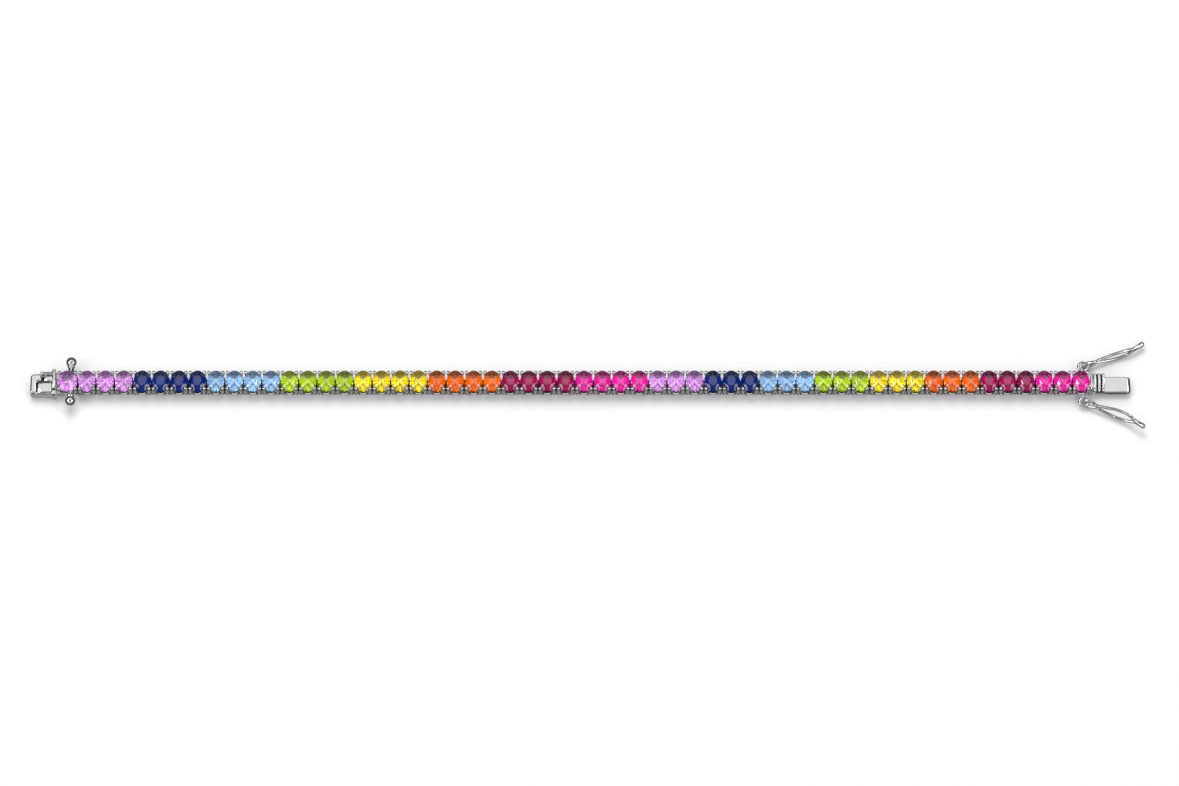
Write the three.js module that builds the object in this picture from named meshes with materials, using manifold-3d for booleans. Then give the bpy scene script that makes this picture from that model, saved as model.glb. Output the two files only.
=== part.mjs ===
// Tennis bracelet, laid open and straight on its settings. Fifty-six oval stones stand side by side,
// each in a four-claw collet, in eight colours: four of each colour, then three of each. A box clasp
// with a ball stud on each side ends the row at one end. At the other end is the clasp's folded spring
// tongue with a ribbed thumb piece, and beside it hang two wire safety arms, which turn in level eyes.
// Millimetres. X runs along the bracelet from the box to the tongue, and Z is up.
import * as THREE from "three";
import { mergeVertices } from "three/addons/utils/BufferGeometryUtils.js";
import Module from "manifold-3d";

// Stones: the width runs along the bracelet and the length across it
const STONE_WIDTH = 3.0;
const BOX_STONE_WIDTH = 3.4;
const STONE_LENGTH = 4.2;
const STONE_GAP = 0.2;
const TABLE_SHARE = 0.56;
const CROWN_HEIGHT = 0.5;
const PAVILION_DEPTH = 1.3;
const CULET_LIFT = 1.1;

// The row: how many colours there are, and how many stones of each colour in its two halves
const COLOURS = 8;
const LONG_RUN = 4;
const SHORT_RUN = 3;

// Collets: an open cup under each stone, with four claws
const COLLET_WALL = 0.32;
const BASE_INSET = 0.55;
const GALLERY_HEIGHT = 1.7;
const CLAW_RISE = 0.5;
const CLAW_LEAN = 0.3;
const CROWN_COVER = 0.45;
const PAVILION_HOLD = 0.2;
const CLAW_ANGLE = 41;
const CLAW_SPREAD = 19;
const STONE_PLAY = 0.05;

// Hinges between the collets
const HINGE_HEIGHT = 0.5;
const HINGE_LENGTH = 1.6;
const KNUCKLE_DIAMETER = 0.9;
const KNUCKLE_LENGTH = 0.7;
const WEB_THICKNESS = 0.6;
const PIN_DIAMETER = 0.34;
const RUNNING_GAP = 0.09;

// Clasp tongue: one folded strip, on a base with a ribbed thumb piece
const TONGUE_WIDTH = 2.9;
const TONGUE_HEIGHT = 1.15;
const TONGUE_STRIP = 0.3;
const TONGUE_CORNER = 0.5;
const TONGUE_SHIFT = 0.3;
const TONGUE_PLAY = 0.06;
const NOSE_REACH = 0.25;
const END_WALL_THICKNESS = 0.34;
const THUMB_LENGTH = 2.1;
const THUMB_WIDTH = 3.4;
const THUMB_PLAY = 0.16;
const THUMB_RISE = 0.42;
const THUMB_CHAMFER = 0.5;
const RIBS = 3;
const RIB_VALLEY = 0.26;
const RIB_DEPTH = 0.26;

// Box clasp
const BOX_LIFT = 0.1;
const BOX_DEPTH = 4.36;
const BOX_WALL = 0.3;
const RIM_WIDTH = 1.05;
const RIM_RISE = 0.16;
const SHOULDER_LENGTH = 2.1;
const FRONT_CORNER = 0.4;
const BACK_CORNER = 0.7;
const WINDOW_LENGTH = 1.4;
const WINDOW_EDGE = 0.1;
const RAIL_WIDTH = 0.55;
const RAIL_REACH = 0.45;
const RAIL_RISE = 0.2;
const KNOB_DIAMETER = 0.64;
const PORTAL_THICKNESS = 0.58;
const PORTAL_WIDTH = 4.7;
const PORTAL_RISE = 0.4;
const PORTAL_GAP = 0.37;
const CHEEK_HEIGHT = 0.6;
const CHEEK_WIDTH = 0.4;

// Ball studs beside the first stone
const STUD_HEIGHT = 2.25;
const STUD_BALL = 1.88;
const STUD_NECK = 0.9;
const STUD_REACH = 1.5;
const STUD_ALONG = 0.6;
const STUD_CLEARANCE = 0.12;

// Eyes beside the last stone, and the safety arms in them
const EYE_HEIGHT = 1.05;
const EYE_RADIUS = 0.76;
const EYE_WIRE = 0.46;
const EYE_REACH = 1.2;
const EYE_ALONG = 0.43;
const ARM_LENGTH = 11.7;
const ARM_WIRE = 0.46;
const ARM_LOOP = 0.88;
const ARM_FLARE = 1.3;
const ARM_RISE = 1.5;
const BACK_ARM_OPEN = 16;
const BACK_ARM_ROLL = 10;
const FRONT_ARM_OPEN = 21;
const FRONT_ARM_ROLL = 30;
const ARM_SIDES = 5;
const ARM_STEPS = 16;

// Half a safety arm's outline, from the eye to the tip: how far along the arm each point lies as a
// share of its length, how far the wire stands from the arm's middle as a share of the long loop's
// half height, and how far it bends out as a share of the flare at the tip
const ARM_STATIONS = [
  { along: 0.015, spread: 0.5, out: 0 },
  { along: 0.06, spread: 0.8, out: 0.02 },
  { along: 0.12, spread: 0.68, out: 0.05 },
  { along: 0.2, spread: 0.3, out: 0.12 },
  { along: 0.3, spread: 0.5, out: 0.17 },
  { along: 0.5, spread: 1.0, out: 0.2 },
  { along: 0.68, spread: 0.88, out: 0.28 },
  { along: 0.83, spread: 0.32, out: 0.5 },
  { along: 0.92, spread: 0.42, out: 0.78 },
  { along: 0.985, spread: 0.3, out: 0.97 },
];

const SILVER = new THREE.MeshStandardMaterial({ color: 0xd9dbde, metalness: 1, roughness: 0.12 });
const LAVENDER = new THREE.MeshStandardMaterial({ color: 0xb98ad2, metalness: 0, roughness: 0.05 });
const MAGENTA = new THREE.MeshStandardMaterial({ color: 0xe01ea6, metalness: 0, roughness: 0.05 });

const PITCH = STONE_WIDTH + STONE_GAP;
const GIRDLE_LEVEL = CULET_LIFT + PAVILION_DEPTH;
const STONE_END = STONE_LENGTH / 2;
const LONG_LINKS = COLOURS * LONG_RUN - 1;
const SHORT_LINKS = COLOURS * SHORT_RUN - 1;
// How far a piece is sunk into the one that it is soldered to, and how far a cut runs past its piece
const SOLDER = 0.12;
const PAST = 1;
const radians = THREE.MathUtils.degToRad;

const wasm = await Module();
wasm.setup();

// A closed geometry as a solid that can be cut and joined
function solid(geometry) {
  const bare = geometry.clone();
  bare.deleteAttribute("normal");
  bare.deleteAttribute("uv");
  const merged = mergeVertices(bare, 1e-4);
  return new wasm.Manifold(
    new wasm.Mesh({
      numProp: 3,
      vertProperties: new Float32Array(merged.attributes.position.array),
      triVerts: new Uint32Array(merged.index.array),
    }),
  );
}

function joined(solids) {
  return solids.reduce((whole, piece) => whole.add(piece));
}

function geometryOf(shape) {
  const { vertProperties, triVerts } = shape.getMesh();
  const geometry = new THREE.BufferGeometry();
  geometry.setAttribute("position", new THREE.BufferAttribute(vertProperties, 3));
  geometry.setIndex(new THREE.BufferAttribute(triVerts, 1));
  return geometry;
}

function meshOf(name, shape, material) {
  const geometry = geometryOf(shape);
  geometry.computeVertexNormals();
  const mesh = new THREE.Mesh(geometry, material);
  mesh.name = name;
  return mesh;
}

// A geometry from a list of flat faces, each given as its corners in order
function faceted(faces) {
  const corners = faces.flatMap((face) =>
    face.slice(2).flatMap((corner, i) => [face[0], face[i + 1], corner]),
  );
  return mergeVertices(new THREE.BufferGeometry().setFromPoints(corners), 1e-4);
}

// A block between two opposite corners
function block([x1, y1, z1], [x2, y2, z2]) {
  const box = new THREE.BoxGeometry(Math.abs(x2 - x1), Math.abs(y2 - y1), Math.abs(z2 - z1));
  return solid(box.translate((x1 + x2) / 2, (y1 + y2) / 2, (z1 + z2) / 2));
}

// A round rod along Y
function rod(diameter, y1, y2, x, z, sides = 8) {
  const cylinder = new THREE.CylinderGeometry(diameter / 2, diameter / 2, Math.abs(y2 - y1), sides);
  return solid(cylinder.translate(x, (y1 + y2) / 2, z));
}

// The corners of a stone and of its collet in order round them, half of them given as angles and the
// rest opposite. Each claw stands between two corners, and so does each of the collet's flat side walls,
// which faces the next stone. The corners at the stone's sides are its own.
const CLAW_LOW = CLAW_ANGLE - CLAW_SPREAD / 2;
const CLAW_HIGH = CLAW_ANGLE + CLAW_SPREAD / 2;
const HALF_TURN = 180;
const CORNERS = [0, HALF_TURN].flatMap((turn) => [
  { angle: turn, ofCollet: false },
  { angle: turn + CLAW_LOW, ofCollet: true, clawAfter: true },
  { angle: turn + CLAW_HIGH, ofCollet: true, clawBefore: true },
  { angle: turn + HALF_TURN / 2, ofCollet: true },
  { angle: turn + HALF_TURN - CLAW_HIGH, ofCollet: true, clawAfter: true },
  { angle: turn + HALF_TURN - CLAW_LOW, ofCollet: true, clawBefore: true, sideAfter: turn ? 1 : -1 },
]);

function cornersAt(halfX, halfY, z) {
  return CORNERS.map(({ angle }) => {
    const t = radians(angle);
    return new THREE.Vector3(halfX * Math.cos(t), halfY * Math.sin(t), z);
  });
}

// Each corner with the next one round, out of all corners or only the collet's
function sectors(chosen) {
  const kept = CORNERS.map((corner, i) => i).filter((i) => chosen(CORNERS[i]));
  return kept.map((a, i) => [a, kept[(i + 1) % kept.length]]);
}

// An oval cut stone's corners: a flat table, a crown and a pavilion that meet at the girdle. The play
// makes it larger all round, for the seat that is cut for it.
function stoneCorners(width, play = 0) {
  const [halfX, halfY] = [width / 2 + play, STONE_END + play];
  return {
    girdle: cornersAt(halfX, halfY, GIRDLE_LEVEL),
    table: cornersAt(TABLE_SHARE * halfX, TABLE_SHARE * halfY, GIRDLE_LEVEL + CROWN_HEIGHT + play),
    culet: new THREE.Vector3(0, 0, CULET_LIFT - play),
  };
}

function stone(width, play = 0) {
  const { girdle, table, culet } = stoneCorners(width, play);
  const facets = sectors(() => true).flatMap(([a, b]) => [
    [girdle[a], girdle[b], table[b], table[a]],
    [culet, girdle[b], girdle[a]],
  ]);
  return solid(faceted([table, ...facets]));
}

// How far the collet's side wall stands from the stone's middle at a height
function sideWall(width, z = HINGE_HEIGHT) {
  const inset = BASE_INSET * (1 - z / GALLERY_HEIGHT);
  return (width / 2 - inset) * Math.cos(radians(CLAW_LOW));
}

const WEB_LOW = HINGE_HEIGHT - WEB_THICKNESS / 2;
const WEB_HIGH = HINGE_HEIGHT + WEB_THICKNESS / 2;

// Where a row's hinge bar grows out of a side wall, in the order of the wall's corners
function hingeCorners(width, side) {
  return [[-side, WEB_LOW], [side, WEB_LOW], [side, WEB_HIGH], [-side, WEB_HIGH]].map(
    ([across, z]) => new THREE.Vector3(side * sideWall(width, z), (across * HINGE_LENGTH) / 2, z),
  );
}

// A band of four faces between two rings of four corners
function band(outside, inside) {
  return outside.map((corner, i) => {
    const next = (i + 1) % outside.length;
    return [corner, outside[next], inside[next], inside[i]];
  });
}

// A stone in its collet, as faces. The collet is an open cup that widens from its base to the gallery,
// and four claws rise from the gallery, hold the girdle and bend over the crown. Its hinged sides, 1
// for the far one and -1 for the near one, are left open where a hinge bar grows out of them.
function setStone(width, hinged = []) {
  const { girdle, table, culet } = stoneCorners(width);
  const onCrown = girdle.map((corner, i) => corner.clone().lerp(table[i], CROWN_COVER));
  const onPavilion = girdle.map((corner) => corner.clone().lerp(culet, PAVILION_HOLD));
  const ring = (grow, z) => cornersAt(width / 2 + grow, STONE_END + grow, z);
  const base = ring(-BASE_INSET, 0);
  const baseInside = ring(-BASE_INSET - COLLET_WALL, 0);
  const gallery = ring(0, GALLERY_HEIGHT);
  const galleryInside = ring(-COLLET_WALL, GALLERY_HEIGHT);
  const tip = ring(CLAW_LEAN, GIRDLE_LEVEL + CLAW_RISE);

  const clawSide = (i) => [
    [gallery[i], tip[i], girdle[i]],
    [tip[i], onCrown[i], girdle[i]],
    [gallery[i], girdle[i], onPavilion[i]],
    [gallery[i], onPavilion[i], galleryInside[i]],
  ];
  const cup = sectors(({ ofCollet }) => ofCollet).flatMap(([a, b]) => [
    ...(hinged.includes(CORNERS[a].sideAfter)
      ? band([base[a], base[b], gallery[b], gallery[a]], hingeCorners(width, CORNERS[a].sideAfter))
      : [[base[a], base[b], gallery[b], gallery[a]]]),
    [baseInside[b], baseInside[a], galleryInside[a], galleryInside[b]],
    [baseInside[a], baseInside[b], base[b], base[a]],
    ...(CORNERS[a].clawAfter
      ? [
          [gallery[a], gallery[b], tip[b], tip[a]],
          [tip[a], tip[b], onCrown[b], onCrown[a]],
          [galleryInside[b], galleryInside[a], onPavilion[a], onPavilion[b]],
          ...clawSide(a),
          ...clawSide(b).map((face) => face.reverse()),
        ]
      : [[gallery[a], gallery[b], galleryInside[b], galleryInside[a]]]),
  ]);
  const facets = sectors(() => true).flatMap(([a, b]) => {
    if (CORNERS[a].clawAfter) {
      return [
        [onCrown[a], onCrown[b], table[b], table[a]],
        [culet, onPavilion[b], onPavilion[a]],
      ];
    }
    return CORNERS[a].clawBefore
      ? [
          [onCrown[a], girdle[a], girdle[b], table[b], table[a]],
          [onPavilion[a], culet, girdle[b], girdle[a]],
        ]
      : [
          [onCrown[b], table[b], table[a], girdle[a], girdle[b]],
          [onPavilion[b], girdle[b], girdle[a], culet],
        ];
  });
  return [table, ...cup, ...facets];
}

// A collet alone, with its claws notched for a stone that is a piece of its own
function emptyCollet(width) {
  return solid(faceted(setStone(width))).subtract(stone(width, STONE_PLAY));
}

// The hinge half on a collet's far side: two knuckles and the pin that they hold
function pinHalf(width) {
  const axis = width / 2 + STONE_GAP / 2;
  const wall = sideWall(width) - SOLDER;
  const inside = KNUCKLE_LENGTH / 2 + RUNNING_GAP;
  const outside = HINGE_LENGTH / 2;
  const knuckles = [-1, 1].flatMap((side) => [
    rod(KNUCKLE_DIAMETER, side * inside, side * outside, axis, HINGE_HEIGHT),
    block([wall, side * inside, WEB_LOW], [axis, side * outside, WEB_HIGH]),
  ]);
  return joined([rod(PIN_DIAMETER, -outside, outside, axis, HINGE_HEIGHT), ...knuckles]);
}

// The hinge half on the next collet's near side: one knuckle, bored for the pin
function boredHalf(width) {
  const axis = -(width / 2 + STONE_GAP / 2);
  const half = KNUCKLE_LENGTH / 2;
  return rod(KNUCKLE_DIAMETER, -half, half, axis, HINGE_HEIGHT)
    .add(block([axis, -half, WEB_LOW], [-sideWall(width) + SOLDER, half, WEB_HIGH]))
    .subtract(rod(PIN_DIAMETER + 2 * RUNNING_GAP, -HINGE_LENGTH, HINGE_LENGTH, axis, HINGE_HEIGHT));
}

// A row of set stones with a bar for each closed hinge between them, its first stone's middle at zero
function linkRow(count) {
  const last = count - 1;
  const along = (face, i) => face.map((corner) => corner.clone().setX(corner.x + i * PITCH));
  const faces = Array.from({ length: count }, (_, i) => {
    const hinged = [i > 0 && -1, i < last && 1];
    return setStone(STONE_WIDTH, hinged).map((face) => along(face, i));
  }).flat();
  const near = hingeCorners(STONE_WIDTH, 1);
  const far = near.map((corner) => corner.clone().setX(PITCH - corner.x));
  const bar = band(near, far);
  for (let i = 0; i < last; i++) {
    faces.push(...bar.map((face) => along(face, i)));
  }
  const pin = solid(geometryOf(pinHalf(STONE_WIDTH)).translate(last * PITCH, 0, 0));
  return joined([solid(faceted(faces)), boredHalf(STONE_WIDTH), pin]);
}

const CAVITY_FLOOR = BOX_LIFT + BOX_WALL;
const CAVITY_TOP = CAVITY_FLOOR + TONGUE_HEIGHT + 2 * TONGUE_PLAY;
const CAVITY_FRONT = -TONGUE_SHIFT - TONGUE_WIDTH / 2 - TONGUE_PLAY;
const CAVITY_BACK = -TONGUE_SHIFT + TONGUE_WIDTH / 2 + TONGUE_PLAY;
const BOX_TOP = CAVITY_TOP + BOX_WALL;
const BOX_FRONT = CAVITY_FRONT - BOX_WALL;
const BOX_BACK = CAVITY_BACK + BOX_WALL;
const RAIL_BACK = BOX_BACK + RAIL_REACH;
const RAIL_FRONT = RAIL_BACK - RAIL_WIDTH;
const PORTAL_BACK = -(BOX_STONE_WIDTH / 2 + PORTAL_GAP);
const PORTAL_FRONT = PORTAL_BACK - PORTAL_THICKNESS;
const MOUTH = PORTAL_BACK - BOX_DEPTH;
const SHOULDER = MOUTH + SHOULDER_LENGTH;

// The box seen from above: full width beside the portal, and set in behind its rounded mouth
function boxOutline() {
  const outline = new THREE.Shape();
  outline.moveTo(PORTAL_BACK, BOX_FRONT);
  outline.lineTo(PORTAL_BACK, RAIL_BACK);
  outline.lineTo(SHOULDER, RAIL_BACK);
  outline.lineTo(SHOULDER, BOX_BACK);
  outline.absarc(MOUTH + BACK_CORNER, BOX_BACK - BACK_CORNER, BACK_CORNER, Math.PI / 2, Math.PI);
  outline.absarc(MOUTH + FRONT_CORNER, BOX_FRONT + FRONT_CORNER, FRONT_CORNER, Math.PI, 1.5 * Math.PI);
  return outline;
}

function boxBody() {
  const prism = new THREE.ExtrudeGeometry(boxOutline(), {
    depth: BOX_TOP + RAIL_RISE - BOX_LIFT,
    bevelEnabled: false,
    curveSegments: 2,
  });
  const above = BOX_TOP + PAST;
  const rimEnd = MOUTH + RIM_WIDTH;
  const windowStart = PORTAL_FRONT - WINDOW_LENGTH;
  const cuts = [
    // the rim's top, below the rail's
    block([MOUTH - PAST, BOX_FRONT - PAST, BOX_TOP + RIM_RISE], [SHOULDER, RAIL_BACK, above]),
    // the top plate, sunk between the rim and the portal and in front of the rail
    block([rimEnd, BOX_FRONT - PAST, BOX_TOP], [PORTAL_FRONT, RAIL_FRONT, above]),
    block([rimEnd, 0, BOX_TOP], [SHOULDER, RAIL_BACK, above]),
    // the cavity that takes the tongue, from the mouth right through to the stone
    block([MOUTH - PAST, CAVITY_FRONT, CAVITY_FLOOR], [PORTAL_BACK + PAST, CAVITY_BACK, CAVITY_TOP]),
    // the window in the top plate
    block([windowStart, WINDOW_EDGE, CAVITY_FLOOR], [PORTAL_FRONT, RAIL_FRONT, above]),
  ];
  return cuts.reduce((whole, cut) => whole.subtract(cut), solid(prism.translate(0, 0, BOX_LIFT)));
}

// The end plate that joins the box to its stone's collet
function portal() {
  const side = PORTAL_WIDTH / 2;
  return block([PORTAL_FRONT, -side, BOX_LIFT], [PORTAL_BACK, side, BOX_TOP + PORTAL_RISE]).subtract(
    block([PORTAL_FRONT - PAST, CAVITY_FRONT, CAVITY_FLOOR], [PORTAL_BACK + PAST, CAVITY_BACK, CAVITY_TOP]),
  );
}

// The round end of the back rail
function knob() {
  const height = BOX_TOP + RAIL_RISE - BOX_LIFT;
  const post = new THREE.CylinderGeometry(KNOB_DIAMETER / 2, KNOB_DIAMETER / 2, height, 8);
  post.rotateX(Math.PI / 2);
  const [x, y] = [SHOULDER + SOLDER - KNOB_DIAMETER / 2, RAIL_BACK - KNOB_DIAMETER / 2];
  return solid(post.translate(x, y, BOX_LIFT + height / 2));
}

// One of two bars that carry the portal on the collet, on each side of the tongue's way
function cheek(side) {
  return block(
    [PORTAL_BACK - SOLDER, side * (STONE_END - CHEEK_WIDTH), GALLERY_HEIGHT - CHEEK_HEIGHT],
    [-BOX_STONE_WIDTH / 8, side * STONE_END, GALLERY_HEIGHT - SOLDER],
  );
}

// A ball on a neck, on a foot that is soldered to the box's collet
function stud(side) {
  const root = STONE_END + STUD_CLEARANCE;
  const centre = STONE_END + STUD_REACH;
  const ball = new THREE.SphereGeometry(STUD_BALL / 2, 12, 7);
  const [x1, x2] = [STUD_ALONG - STUD_NECK / 2, STUD_ALONG + STUD_NECK / 2];
  const footLow = GALLERY_HEIGHT - COLLET_WALL;
  return joined([
    solid(ball.translate(STUD_ALONG, side * centre, STUD_HEIGHT)),
    rod(STUD_NECK, side * root, side * centre, STUD_ALONG, STUD_HEIGHT),
    block(
      [x1, side * (STONE_END - 2 * COLLET_WALL), footLow],
      [x2, side * (root + COLLET_WALL), GALLERY_HEIGHT],
    ),
    block([x1, side * root, footLow], [x2, side * (root + COLLET_WALL), STUD_HEIGHT]),
  ]);
}

function boxClasp() {
  return joined([
    emptyCollet(BOX_STONE_WIDTH),
    pinHalf(BOX_STONE_WIDTH),
    cheek(-1),
    cheek(1),
    portal(),
    boxBody(),
    knob(),
    stud(-1),
    stud(1),
  ]);
}

const END_WALL = STONE_WIDTH / 2 + STONE_GAP;
const THUMB_START = END_WALL + END_WALL_THICKNESS;
const THUMB_END = THUMB_START + THUMB_LENGTH;
const TONGUE_FLOOR = CAVITY_FLOOR + TONGUE_PLAY;
const TONGUE_TOP = TONGUE_FLOOR + TONGUE_HEIGHT;
const TONGUE_LENGTH = BOX_DEPTH + NOSE_REACH;

// The tongue's strip, folded at its nose, with the nose's corners rounded in plan
function tongueStrip() {
  const middle = TONGUE_HEIGHT / 2;
  const nose = TONGUE_LENGTH - middle;
  const fold = new THREE.Shape();
  fold.moveTo(-SOLDER, 0);
  fold.lineTo(nose, 0);
  fold.absarc(nose, middle, middle, -Math.PI / 2, Math.PI / 2);
  fold.lineTo(-SOLDER, TONGUE_HEIGHT);
  fold.lineTo(-SOLDER, TONGUE_HEIGHT - TONGUE_STRIP);
  fold.absarc(nose, middle, middle - TONGUE_STRIP, Math.PI / 2, -Math.PI / 2, true);
  fold.lineTo(-SOLDER, TONGUE_STRIP);
  const folded = { depth: TONGUE_WIDTH, bevelEnabled: false, curveSegments: 4 };
  const strip = new THREE.ExtrudeGeometry(fold, folded);
  strip.rotateX(Math.PI / 2);
  strip.translate(THUMB_END, TONGUE_WIDTH / 2 - TONGUE_SHIFT, TONGUE_FLOOR);

  const side = TONGUE_WIDTH / 2;
  const corner = TONGUE_LENGTH - TONGUE_CORNER;
  const plan = new THREE.Shape();
  plan.moveTo(-PAST, -side);
  plan.lineTo(corner, -side);
  plan.absarc(corner, TONGUE_CORNER - side, TONGUE_CORNER, -Math.PI / 2, 0);
  plan.absarc(corner, side - TONGUE_CORNER, TONGUE_CORNER, 0, Math.PI / 2);
  plan.lineTo(-PAST, side);
  const rounded = { depth: 2 * TONGUE_HEIGHT, bevelEnabled: false, curveSegments: 2 };
  const keep = new THREE.ExtrudeGeometry(plan, rounded);
  keep.translate(THUMB_END, -TONGUE_SHIFT, TONGUE_FLOOR - TONGUE_HEIGHT / 2);
  return solid(strip).intersect(solid(keep));
}

// The ribbed thumb piece on the strip's upper leg: its front edge slopes, and valleys part its ribs
function thumb() {
  const [side, low, top] = [THUMB_WIDTH / 2, TONGUE_TOP - TONGUE_STRIP, TONGUE_TOP + THUMB_RISE];
  const start = THUMB_START + THUMB_PLAY;
  const section = new THREE.Shape();
  section.moveTo(-side, low);
  section.lineTo(side, low);
  section.lineTo(side, top);
  section.lineTo(THUMB_CHAMFER - side, top);
  section.lineTo(-side, top - THUMB_CHAMFER);
  const bar = new THREE.ExtrudeGeometry(section, { depth: THUMB_END - start, bevelEnabled: false });
  bar.rotateX(Math.PI / 2);
  bar.rotateZ(Math.PI / 2);
  bar.translate(start, 0, 0);
  const rib = (THUMB_END - start - (RIBS - 1) * RIB_VALLEY) / RIBS;
  const valleys = Array.from({ length: RIBS - 1 }, (_, i) => start + rib + i * (rib + RIB_VALLEY));
  const across = side + PAST;
  const valley = (x) => block([x, -across, top - RIB_DEPTH], [x + RIB_VALLEY, across, top + PAST]);
  return valleys.reduce((piece, x) => piece.subtract(valley(x)), solid(bar));
}

// A ring that lies level beside the last collet and holds a safety arm
function eye(side) {
  const ring = new THREE.TorusGeometry(EYE_RADIUS, EYE_WIRE / 2, 6, 12);
  const centre = STONE_END + EYE_REACH;
  const half = EYE_WIRE / 2;
  return solid(ring.translate(EYE_ALONG, side * centre, EYE_HEIGHT)).add(
    block(
      [EYE_ALONG - half, side * (STONE_END - 2 * COLLET_WALL), EYE_HEIGHT - half],
      [EYE_ALONG + half, side * (centre - EYE_RADIUS), EYE_HEIGHT + half],
    ),
  );
}

function tongueClasp() {
  const side = THUMB_WIDTH / 2;
  const foot = sideWall(STONE_WIDTH) - SOLDER;
  const baseTop = TONGUE_TOP - TONGUE_STRIP - THUMB_PLAY;
  return joined([
    emptyCollet(STONE_WIDTH),
    boredHalf(STONE_WIDTH),
    eye(-1),
    eye(1),
    // the foot that carries the end wall on the collet
    block([foot, -HINGE_LENGTH / 2, BOX_LIFT], [END_WALL + SOLDER, HINGE_LENGTH / 2, WEB_HIGH]),
    block([END_WALL, -side, BOX_LIFT], [THUMB_START, side, TONGUE_TOP + THUMB_RISE]),
    block([THUMB_START - SOLDER, -side, BOX_LIFT], [THUMB_END, side, baseTop]),
    tongueStrip(),
    thumb(),
  ]);
}

// A safety arm, from the eye's middle to its lip: two bent wires, joined in the eye and at the lip,
// with a small loop for the eye between them and a long one for the stud
function safetyArm(side, open, roll) {
  const section = new THREE.Shape(
    Array.from({ length: ARM_SIDES }, (_, i) => {
      const t = (2 * Math.PI * i) / ARM_SIDES;
      return new THREE.Vector2((ARM_WIRE / 2) * Math.cos(t), (ARM_WIRE / 2) * Math.sin(t));
    }),
  );
  const wires = [1, -1].map((way) => {
    const path = new THREE.CatmullRomCurve3([
      new THREE.Vector3(0, 0, -way * SOLDER),
      ...ARM_STATIONS.map(
        ({ along, spread, out }) =>
          new THREE.Vector3(along * ARM_LENGTH, side * out * ARM_FLARE, way * spread * ARM_LOOP),
      ),
      new THREE.Vector3(ARM_LENGTH, side * ARM_FLARE, -way * SOLDER),
    ]);
    const wire = new THREE.ExtrudeGeometry(section, { steps: ARM_STEPS, extrudePath: path });
    wire.rotateX(radians(-roll));
    wire.rotateY(radians(-ARM_RISE));
    wire.rotateZ(side * radians(open));
    return solid(wire);
  });
  return joined(wires);
}

const bracelet = new THREE.Group();
const longX = (BOX_STONE_WIDTH + STONE_WIDTH) / 2 + STONE_GAP;
const shortX = longX + LONG_LINKS * PITCH;
const tongueX = shortX + SHORT_LINKS * PITCH;
const [eyeX, eyeY] = [tongueX + EYE_ALONG, STONE_END + EYE_REACH];

function place(mesh, x, y = 0, z = 0) {
  mesh.position.set(x, y, z);
  bracelet.add(mesh);
}

place(meshOf("box_clasp", boxClasp(), SILVER), 0);
place(meshOf("box_stone", stone(BOX_STONE_WIDTH), LAVENDER), 0);
place(meshOf("stone_links_long", linkRow(LONG_LINKS), SILVER), longX);
place(meshOf("stone_links_short", linkRow(SHORT_LINKS), SILVER), shortX);
place(meshOf("tongue_clasp", tongueClasp(), SILVER), tongueX);
place(meshOf("tongue_stone", stone(STONE_WIDTH), MAGENTA), tongueX);
const backArm = meshOf("safety_arm_back", safetyArm(1, BACK_ARM_OPEN, BACK_ARM_ROLL), SILVER);
const frontArm = meshOf("safety_arm_front", safetyArm(-1, FRONT_ARM_OPEN, FRONT_ARM_ROLL), SILVER);
place(backArm, eyeX, eyeY, EYE_HEIGHT);
place(frontArm, eyeX, -eyeY, EYE_HEIGHT);

// The origin is the middle of the footprint, on the surface that the bracelet lies on
const extent = new THREE.Box3().setFromObject(bracelet);
const middle = extent.getCenter(new THREE.Vector3());
bracelet.position.set(-middle.x, -middle.y, -extent.min.z);

export default bracelet;
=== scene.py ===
# Tennis bracelet, laid open and straight: the looks. Fifty-six cut oval stones in eight colours, each in
# a four-claw basket of polished silver, with a box clasp, a spring tongue and two wire safety arms.
# Sizes are in metres, in the frame of the CAD model, and MM turns millimetres into metres.
import math
from contextlib import contextmanager

import bmesh
import bpy
from mathutils import Matrix, Vector


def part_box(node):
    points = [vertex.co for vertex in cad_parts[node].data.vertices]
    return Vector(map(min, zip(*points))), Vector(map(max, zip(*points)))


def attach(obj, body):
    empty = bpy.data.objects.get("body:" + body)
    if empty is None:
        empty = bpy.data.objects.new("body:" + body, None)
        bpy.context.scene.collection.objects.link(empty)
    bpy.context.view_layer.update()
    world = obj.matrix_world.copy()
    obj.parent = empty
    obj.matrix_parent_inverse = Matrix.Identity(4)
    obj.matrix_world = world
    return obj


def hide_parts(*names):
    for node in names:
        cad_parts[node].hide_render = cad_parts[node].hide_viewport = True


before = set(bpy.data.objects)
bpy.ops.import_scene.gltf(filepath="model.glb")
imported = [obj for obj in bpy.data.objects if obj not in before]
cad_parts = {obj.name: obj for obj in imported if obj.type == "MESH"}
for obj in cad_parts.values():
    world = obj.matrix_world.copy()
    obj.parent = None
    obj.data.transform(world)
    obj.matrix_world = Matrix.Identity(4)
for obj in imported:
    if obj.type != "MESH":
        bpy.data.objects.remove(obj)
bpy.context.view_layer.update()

MM = 0.001

# How far a plain edge is rounded, and how far the small edges of hidden plates are
EDGE = 0.05 * MM
FINE_EDGE = 0.03 * MM

# The row of stones: how many of one colour stand together in its two halves
STONE_WIDTH = 3.0 * MM
STONE_LENGTH = 4.2 * MM
STONE_PITCH = 3.2 * MM
CULET_LEVEL = 1.1 * MM
GIRDLE_LEVEL = 2.4 * MM
TABLE_LEVEL = 2.9 * MM
LONG_RUN = 4
SHORT_RUN = 3

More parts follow.
